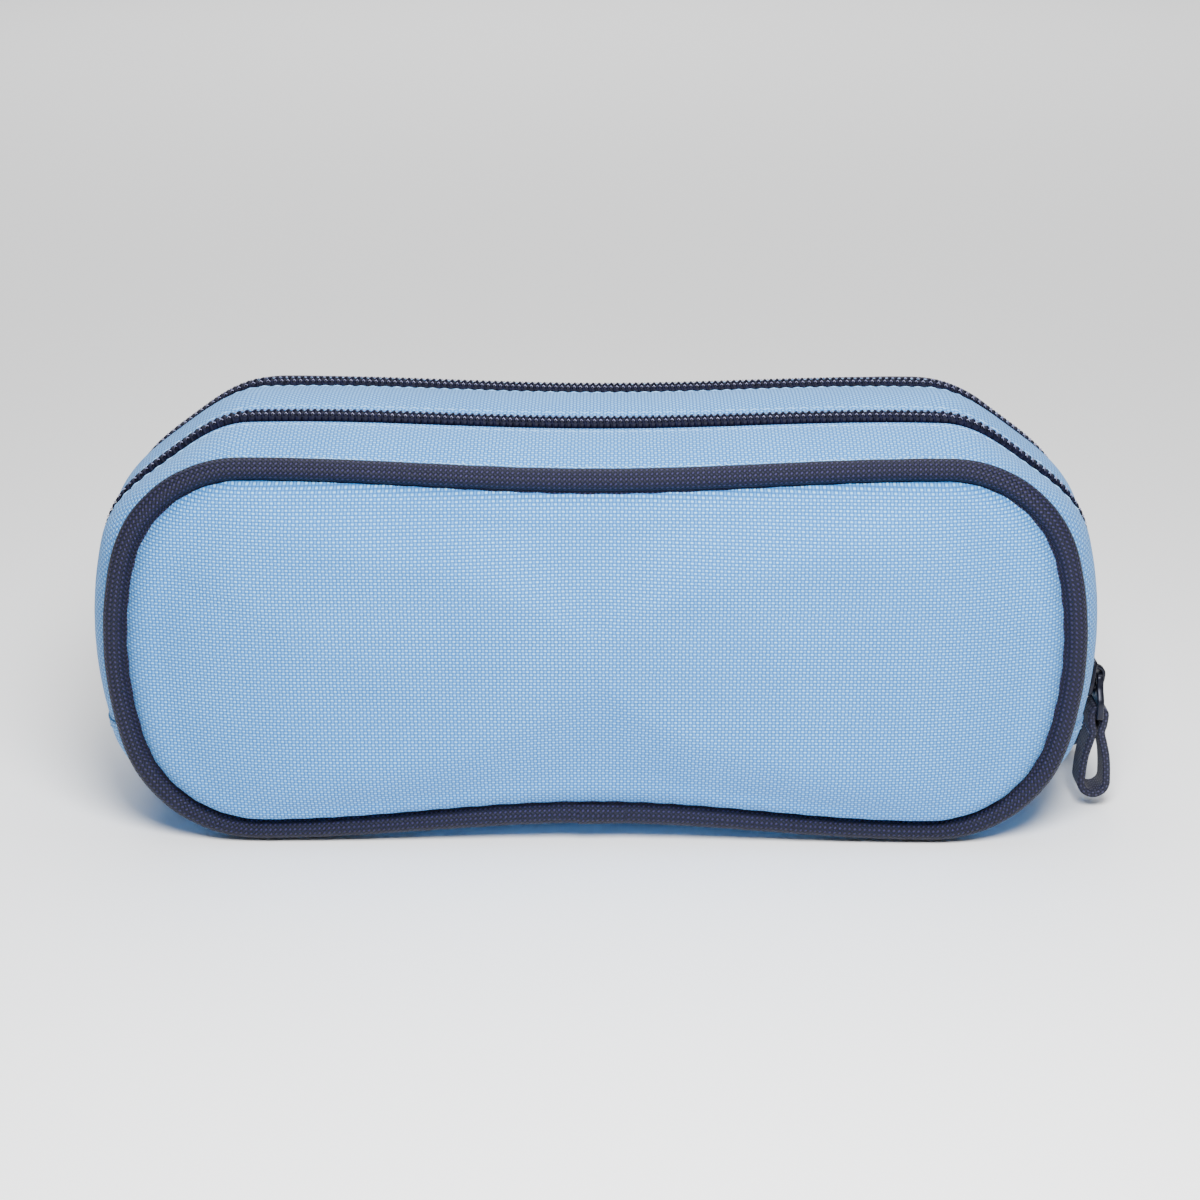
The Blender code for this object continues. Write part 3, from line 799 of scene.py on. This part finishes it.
def piping(word, side):
    """Bias cloth round a cord, with its two edges as the seam allowance."""
    columns = 720
    s = np.linspace(0, TOTAL, columns, endpoint=False)[None, :]
    profile = piping_profile()
    across = np.array([p[0] for p in profile])[:, None]
    out = np.array([p[1] for p in profile])[:, None]
    swell = 1 + PIPING_SWELL * np.sin(s * 2 * np.pi / PIPING_SWELL_PITCH) * np.sin(s * 37)
    points = seam(s, side * PIPING_Y + across * swell, out * np.where(out > 0, swell, 1))
    around = np.concatenate([[0], np.cumsum(np.hypot(np.diff(across[:, 0]), np.diff(out[:, 0])))])
    pitch = TOTAL / columns
    mesh = grid_mesh(
        f"{word}_piping",
        points,
        lambda r, c: (c * pitch, around[r % len(profile)]),
        close_columns=True,
        close_rows=True,
    )
    made = link(f"{word}_piping", mesh, LOOKS["piping"])
    fix_normals(made)
    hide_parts(f"{word}_piping_cover")
    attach(made, f"{word}_wall")


def piping_overlap(word, side):
    """The turned end of the piping's cloth, where it laps over its own start under the case."""
    steps = 34
    s = OVERLAP_START + OVERLAP_LENGTH * np.linspace(0, 1, steps)[None, :]
    t = (s - OVERLAP_START) / OVERLAP_LENGTH
    lift = OVERLAP_LIFT * np.clip(t / 0.05, 0, 1) ** 0.5 * (1 - t) ** 0.8
    a = np.radians(np.linspace(-64, 244, 25))[:, None]
    radius = PIPING_RADIUS - OVERLAP_SUNK + lift
    points = seam(s, side * PIPING_Y + radius * np.cos(a), radius * np.sin(a))
    mesh = grid_mesh(
        f"{word}_piping_overlap", points, lambda r, c: (s[0, c] + 0.0004, a[r, 0] * PIPING_RADIUS)
    )
    made = link(f"{word}_piping_overlap", mesh, LOOKS["piping"])
    fix_normals(made)
    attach(made, f"{word}_wall")


def piping_cord(word, side):
    """The twisted cord that the piping is folded round."""
    columns, sides = 480, 12
    s = np.linspace(0, TOTAL, columns, endpoint=False)[None, :]
    a = np.linspace(0, 2 * np.pi, sides, endpoint=False)[:, None]
    strands, depth = 3, 0.05
    radius = CORD_RADIUS * (1 + depth * np.sin(strands * a + s * 2 * np.pi / CORD_TWIST_PITCH))
    points = seam(s, side * PIPING_Y + radius * np.cos(a), radius * np.sin(a))
    mesh = grid_mesh(f"{word}_twisted_cord", points, close_columns=True, close_rows=True)
    made = link(f"{word}_twisted_cord", mesh, LOOKS["cord"])
    fix_normals(made)
    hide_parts(f"{word}_piping_cord")
    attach(made, f"{word}_wall")


def wall_strip(word, side):
    """The strip of cloth between a panel and its zip, with its rows of stitching."""
    first = side * SEWN_Y
    last = side * (ZIP_Y + STRIP_EDGE)
    made = cloth_strip(
        f"{word}_cloth_strip", ZIP_START - STRIP_OVERHANG, ZIP_FINISH + STRIP_OVERHANG,
        hem_ys(first, last), STRIP_COLUMNS, LOOKS["cloth"], ripple=EDGE_RIPPLE,
    )
    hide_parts(f"{word}_strip")
    fold_with_wall(made)
    row = topstitch(f"{word}_zip_topstitch", side * (ZIP_Y + STRIP_EDGE + TOPSTITCH_INSET))
    fold_with_wall(row)
    row = stitches(
        f"{word}_seam_stitch", first - side * SEAM_STITCH_INSET,
        SEAM_STITCH_PITCH, SEAM_STITCH_LENGTH, SEAM_STITCH_LIFT, SEAM_THREAD_RADIUS,
    )
    fold_with_wall(row)


def middle():
    """The strip of cloth between the two zips, with a row of stitching at each edge."""
    edge = ZIP_Y - STRIP_EDGE
    made = cloth_strip(
        "middle_cloth_strip", ZIP_START - STRIP_OVERHANG, ZIP_FINISH + STRIP_OVERHANG,
        hem_ys(-edge, edge), STRIP_COLUMNS, LOOKS["cloth"],
    )
    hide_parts("middle_strip")
    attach(made, "case")
    for word, side in (("front", -1), ("rear", 1)):
        row = topstitch(f"middle_topstitch_{word}", side * (edge - TOPSTITCH_INSET))
        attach(row, "case")


def base(word, side):
    """Half of the base's cloth, from its middle to one piping, a little over the strips' ends."""
    first = side * SEWN_Y
    start, finish = ZIP_FINISH - TOTAL - BASE_OVERHANG, ZIP_START + BASE_OVERHANG
    made = cloth_strip(
        f"base_cloth_{word}", start, finish, hem_ys(first, 0, steps=30), STRIP_COLUMNS, LOOKS["cloth"],
        depth=BASE_DEPTH, ripple=EDGE_RIPPLE,
    )
    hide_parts("base_band")
    base_with_wall(made)
    half = TOPSTITCH_LENGTH / 2
    for end, s in (("right", finish - TOPSTITCH_INSET), ("left", start + TOPSTITCH_INSET)):
        paths = []
        for i in range(int(abs(first) / TOPSTITCH_PITCH)):
            y = side * (i + 0.5) * TOPSTITCH_PITCH
            rises = ((-1, 0), (0, CROSS_STITCH_RISE), (1, 0))
            paths.append([skin(s, y + k * half, BASE_DEPTH - rise) for k, rise in rises])
        row = threads(f"cross_stitch_{word}_{end}", paths, CROSS_STITCH_RADIUS, LOOKS["thread"])
        base_with_wall(row)


# ---------------------------------------------------------------- zips


def tooth_path(s, near, far, direction):
    """One turn of coil seen from outside: from the edge over to the middle and back round its head."""
    top = -COIL_PROUD + TOOTH_RADIUS
    low = CLOTH + GAP - 0.0001
    shoulder = direction * 0.0004
    return [
        skin(s - TOOTH_LEAN, far, low),
        skin(s - TOOTH_LEAN, far, top + 0.0005),
        skin(s - TOOTH_LEAN * 0.6, far - shoulder, top + 0.0001),
        skin(s, (near + far) / 2, top),
        skin(s + TOOTH_LEAN * 0.6, near + shoulder, top),
        skin(s + TOOTH_LEAN, near, top + 0.0003),
        skin(s + TOOTH_LEAN, near, low),
    ]


def coil(number, side, part, direction):
    """Half of a zip: its nylon coil with core and sewing thread, and its tape."""
    start, finish = ZIP_START + STOP_LENGTH + GAP, ZIP_FINISH - STOP_LENGTH - GAP
    middle_y = side * ZIP_Y
    near = middle_y + direction * (SLOT_HALF - TOOTH_HEAD)
    far = middle_y + direction * (COIL_HALF_WIDTH - COIL_INSET)
    count = int((finish - start) / TOOTH_PITCH)
    shift = 0.25 if part == "outer" else 0.75  # the two halves' teeth alternate
    places = start + (np.arange(count) + shift) * TOOTH_PITCH
    paths = [tooth_path(s, near, far, direction) for s in places]
    teeth = threads(f"zip_{number}_teeth_{part}", paths, TOOTH_RADIUS, LOOKS["coil"], sides=7)
    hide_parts(f"zip_{number}_coil_{part}")

    # The thread that sews the coil on; its pale colour is a painted highlight for the bright dots along
    # the coil.
    y = middle_y + direction * SEWING_Y
    half = TOOTH_PITCH * 0.3
    top = -COIL_PROUD - 0.00008
    places = start + (np.arange(count) + shift + 0.5) * TOOTH_PITCH
    paths = [
        [skin(s - half, y, top + 0.0006), skin(s, y, top + 0.0001), skin(s + half, y, top + 0.0006)]
        for s in places
    ]
    sewing = threads(
        f"zip_{number}_coil_sewing_{part}", paths, COIL_THREAD_RADIUS, LOOKS["coil_thread"]
    )

    core = cloth_strip(
        f"zip_{number}_coil_core_{part}", start, finish, [near + direction * 0.0002, far], CHAIN_COLUMNS,
        LOOKS["coil"], depth=COIL_CORE_DEPTH - COIL_PROUD, thickness=COIL_CORE_THICKNESS,
    )

    rows = np.array([SLOT_HALF, 0.001, 0.002, 0.003, 0.0045, 0.007, 0.0092, TAPE_WIDTH])
    tape = cloth_strip(
        f"zip_{number}_woven_tape_{part}", ZIP_START, ZIP_FINISH, middle_y + direction * rows,
        CHAIN_COLUMNS, LOOKS["tape"], depth=CLOTH + GAP, thickness=TAPE_THICKNESS,
    )
    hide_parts(f"zip_{number}_tape_{part}")
    for piece, finish_slot in (
        (teeth, "zip_coil"), (core, "zip_coil"), (sewing, "zip_coil"), (tape, "zip_tape"),
    ):
        if part == "outer":
            fold_with_wall(piece)
        else:
            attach(piece, "case")


# ---------------------------------------------------------------- sliders, tabs and straps


def slider(number, word, side):
    """The slider's plates and wedge with its bridge, on the end's arc."""
    y = side * ZIP_Y
    outward = Vector((math.cos(SLIDER_ANGLE), 0, math.sin(SLIDER_ANGLE)))
    along = Vector((-math.sin(SLIDER_ANGLE), 0, math.cos(SLIDER_ANGLE)))
    across = Vector((0, 1, 0))
    centre = Vector((END_CENTRE_X, y, CENTRE_Z))
    surface = END_RADIUS + END_BULGE
    top = surface + COIL_PROUD + PLATE_ABOVE_COIL
    foot = surface - PLATE_BELOW_SURFACE
    shoulders = rounded_loop(
        [
            (-0.0030, 0.0045), (0.0030, 0.0045), (0.0036, 0.0020), (0.0042, -0.0012),
            (0.0042, -0.0032), (0.0022, -0.0046), (0, -0.0036), (-0.0022, -0.0046),
            (-0.0042, -0.0032), (-0.0042, -0.0012), (-0.0036, 0.0020),
        ],
        0.0009,
    )
    outer = plate(
        f"zip_{number}_slider_plate", [shoulders], PLATE_THICKNESS,
        centre + outward * (top + PLATE_THICKNESS / 2), across, along, LOOKS["metal"], bevel=0.0004,
    )
    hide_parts(f"zip_{number}_slider")
    inner_shape = [(u * 0.86, v * 0.98) for u, v in shoulders]
    inner = plate(
        f"zip_{number}_slider_inner_plate", [inner_shape], INNER_PLATE_THICKNESS,
        centre + outward * (foot - INNER_PLATE_THICKNESS / 2), across, along, LOOKS["metal"],
    )
    wedge_shape = rounded_loop(
        [(-0.00022, 0.0040), (0.00022, 0.0040), (0.00030, -0.0036), (-0.00030, -0.0036)], 0.0001
    )
    wedge = plate(
        f"zip_{number}_slider_wedge", [wedge_shape], top - foot + 0.0004,
        centre + outward * ((top + foot) / 2), across, along, LOOKS["metal"], bevel=0.00005,
    )
    rims = []
    for edge in (-1, 1):
        rim = [
            (edge * 0.0031, 0.0043), (edge * 0.0036, 0.0021), (edge * 0.0042, -0.0010),
            (edge * 0.0042, -0.0030),
        ]
        rim += [(u - edge * RIM_WIDTH, v) for u, v in rim[::-1]]
        if edge > 0:
            rim.reverse()
        rims.append(
            plate(
                f"zip_{number}_slider_rim_{'a' if edge < 0 else 'b'}", [rim], RIM_HEIGHT,
                centre + outward * (top - 0.0002), across, along, LOOKS["metal"], bevel=0.0001,
            )
        )

    foot_height = top + PLATE_THICKNESS - BRIDGE_SUNK
    path = []
    for t in np.linspace(0, math.pi, 17):
        v = BRIDGE_REACH * math.copysign(abs(math.cos(t)) ** 0.6, math.cos(t))
        h = BRIDGE_RISE * math.sin(t) ** 0.75
        centre_line = centre + along * v + outward * (foot_height + h)
        slope = Vector((-BRIDGE_REACH * math.sin(t), 0, BRIDGE_RISE * math.cos(t)))
        tangent = (along * slope.x + outward * slope.z).normalized()
        path.append((centre_line, across, tangent.cross(across).normalized()))
    bridge = sweep(
        f"zip_{number}_slider_bridge", path, rounded_section(0.0022, 0.0009, 0.0003), LOOKS["metal"],
        closed=False,
    )
    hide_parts(f"zip_{number}_bridge")
    for piece in (outer, inner, wedge, bridge, *rims):
        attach(piece, f"{word}_slider")

    joints = {joint["name"]: joint for joint in frame["joints"]}
    pivot = Vector(joints[f"{word}_tab_swings"]["pos_m"])
    strap_pivot = Vector(joints[f"{word}_strap_swings"]["pos_m"])
    tab(number, word, pivot, strap_pivot)
    strap(number, word, strap_pivot)


def tab(number, word, pivot, strap_pivot):
    """A flat pull with one hole for the slider's bridge and one for the strap, and the bar below it."""
    drop = pivot.z - strap_pivot.z
    wide = TAB_HALF_WIDTH
    outline = [
        (-0.0030, 0.0008), (0.0030, 0.0008), (0.0034, -0.0022), (wide, -0.0048),
        (wide, -drop - 0.0006), (-wide, -drop - 0.0006), (-wide, -0.0048), (-0.0034, -0.0022),
    ]
    bridge_hole = [(-0.0017, -0.0044), (0.0017, -0.0044), (0.0017, -0.0006), (-0.0017, -0.0006)]
    strap_hole = [
        (-0.0043, -drop + 0.0007), (0.0043, -drop + 0.0007), (0.0043, -0.0060), (-0.0043, -0.0060),
    ]
    loops = [
        rounded_loop(outline, 0.0011), rounded_loop(bridge_hole, 0.0007), rounded_loop(strap_hole, 0.0005),
    ]
    made = plate(
        f"zip_{number}_pull_tab", loops, TAB_THICKNESS, pivot, Vector((0, 1, 0)), Vector((0, 0, 1)),
        LOOKS["metal"], bevel=0.0004,
    )
    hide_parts(f"zip_{number}_tab")
    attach(made, f"{word}_tab")


def strap_centreline():
    """Down one side from the bar, round the loop's foot, and up the other side, as (X, Z)."""
    right_side = [
        (STRAP_EYE, -0.0004), (0.00135, -0.0026), (0.00095, -0.0042), (0.0016, -0.0068),
        (0.0024, -0.0100), (0.0028, -0.0135), (STRAP_LOOP_RADIUS, -0.0165),
    ]
    top = arc(0, 0, STRAP_EYE, 165, 15, 8)
    foot = arc(0, -STRAP_LOOP_DROP, STRAP_LOOP_RADIUS, -8, -172, 10)
    return top + right_side + foot + [(-x, z) for x, z in right_side[::-1]]


def smoothed(points):
    """A closed curve through the points, with one more point halfway between each two."""
    made = []
    count = len(points)
    for i in range(count):
        p0, p1, p2, p3 = (np.array(points[(i + k) % count]) for k in (-1, 0, 1, 2))
        for t in (0, 0.5):
            made.append(
                0.5 * (2 * p1 + (p2 - p0) * t + (2 * p0 - 5 * p1 + 4 * p2 - p3) * t**2
                       + (3 * p1 - p0 - 3 * p2 + p3) * t**3)
            )
    return made


def strap(number, word, pivot):
    """A woven ribbon through the tab, both sides sewn together below it, then an open loop."""
    smooth = smoothed(strap_centreline())
    path = []
    for i, p in enumerate(smooth):
        ahead = smooth[(i + 1) % len(smooth)] - smooth[i - 1]
        ahead /= np.linalg.norm(ahead)
        normal = Vector((ahead[1], 0, -ahead[0]))
        path.append((pivot + Vector((p[0], 0, p[1])), Vector((0, 1, 0)), normal))
    section = rounded_section(STRAP_WIDTH, STRAP_THICKNESS, STRAP_CORNER)
    made = sweep(f"zip_{number}_ribbon_strap", path, section, LOOKS["webbing"])
    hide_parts(f"zip_{number}_strap")
    paths = []
    z, half = pivot.z - STRAP_STITCH_DROP, STRAP_STITCH_HALF
    for outer in (-1, 1):
        x = pivot.x + outer * STRAP_THICKNESS
        for i in range(STRAP_STITCHES):
            y = pivot.y + (i - (STRAP_STITCHES - 1) / 2) * STRAP_STITCH_PITCH
            paths.append([(x, y - half, z), (x + outer * 0.0001, y, z), (x, y + half, z)])
    row = threads(f"zip_{number}_strap_stitch", paths, STRAP_STITCH_RADIUS, LOOKS["coil_thread"])
    for piece in (made, row):
        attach(piece, f"{word}_strap")


# ---------------------------------------------------------------- CAD nodes that stay, and the stage


def finish_node(node, look, bevel=0.0):
    """Gives a CAD node that stays its material, and rounds its edges if asked to."""
    kept = frame["nodes"][node]
    kept.data.materials.clear()
    kept.data.materials.append(look)
    if bevel:
        edge = kept.modifiers.new("edge", "BEVEL")
        edge.width = bevel
        edge.segments = 3


def stage():
    """A pale floor, an even sky and the lights."""
    mesh = bpy.data.meshes.new("floor")
    bm = bmesh.new()
    bmesh.ops.create_grid(bm, x_segments=1, y_segments=1, size=4)
    bm.to_mesh(mesh)
    bm.free()
    n = Nodes("pale_floor", 0.9, specular=0.1)
    n.colour(rgb(250, 250, 250))
    floor = link("floor", mesh, n.material)
    floor.location.z = FLOOR_Z

    world = bpy.data.worlds.new("studio")
    world.use_nodes = True
    background = world.node_tree.nodes["Background"]
    background.inputs["Color"].default_value = (0.95, 0.97, 1.0, 1)
    background.inputs["Strength"].default_value = WORLD_STRENGTH
    bpy.context.scene.world = world
    for name, place, target, size, power in LIGHTS:
        light = bpy.data.lights.new(name, "AREA")
        light.shape = "DISK"
        light.size = size
        light.energy = power
        lamp = bpy.data.objects.new(name, light)
        lamp.location = place
        lamp.rotation_euler = (Vector(target) - Vector(place)).to_track_quat("-Z", "Y").to_euler()
        bpy.context.scene.collection.objects.link(lamp)


def camera():
    """Looks at the front, from a little above."""
    azimuth, elevation = math.radians(CAMERA_AZIMUTH), math.radians(CAMERA_ELEVATION)
    level = math.cos(elevation)
    back = Vector((math.sin(azimuth) * level, -math.cos(azimuth) * level, math.sin(elevation)))
    data = bpy.data.cameras.new("camera")
    data.lens = CAMERA_LENS
    data.sensor_width = 36.0
    data.clip_start = 0.01
    made = bpy.data.objects.new("camera", data)
    made.location = Vector(CAMERA_TARGET) + back * CAMERA_DISTANCE
    made.rotation_euler = back.to_track_quat("Z", "Y").to_euler()
    bpy.context.scene.collection.objects.link(made)
    bpy.context.scene.camera = made


def build():
    """Makes both halves of the case, then what lies between them."""
    for word, side, number in (("front", -1, 1), ("rear", 1, 2)):
        cloth_panel(word, side)
        piping(word, side)
        piping_overlap(word, side)
        wall_strip(word, side)
        base(word, side)
        for part, direction in (("outer", side), ("inner", -side)):
            coil(number, side, part, direction)
        slider(number, word, side)
        piping_cord(word, side)
        finish_node(f"{word}_seam_binding", LOOKS["lining"])
        for end in ("right", "left"):
            finish_node(f"zip_{number}_stop_{end}", LOOKS["metal"], bevel=0.0003)
    middle()
    finish_node("divider", LOOKS["lining"])
    stage()
    camera()


build()
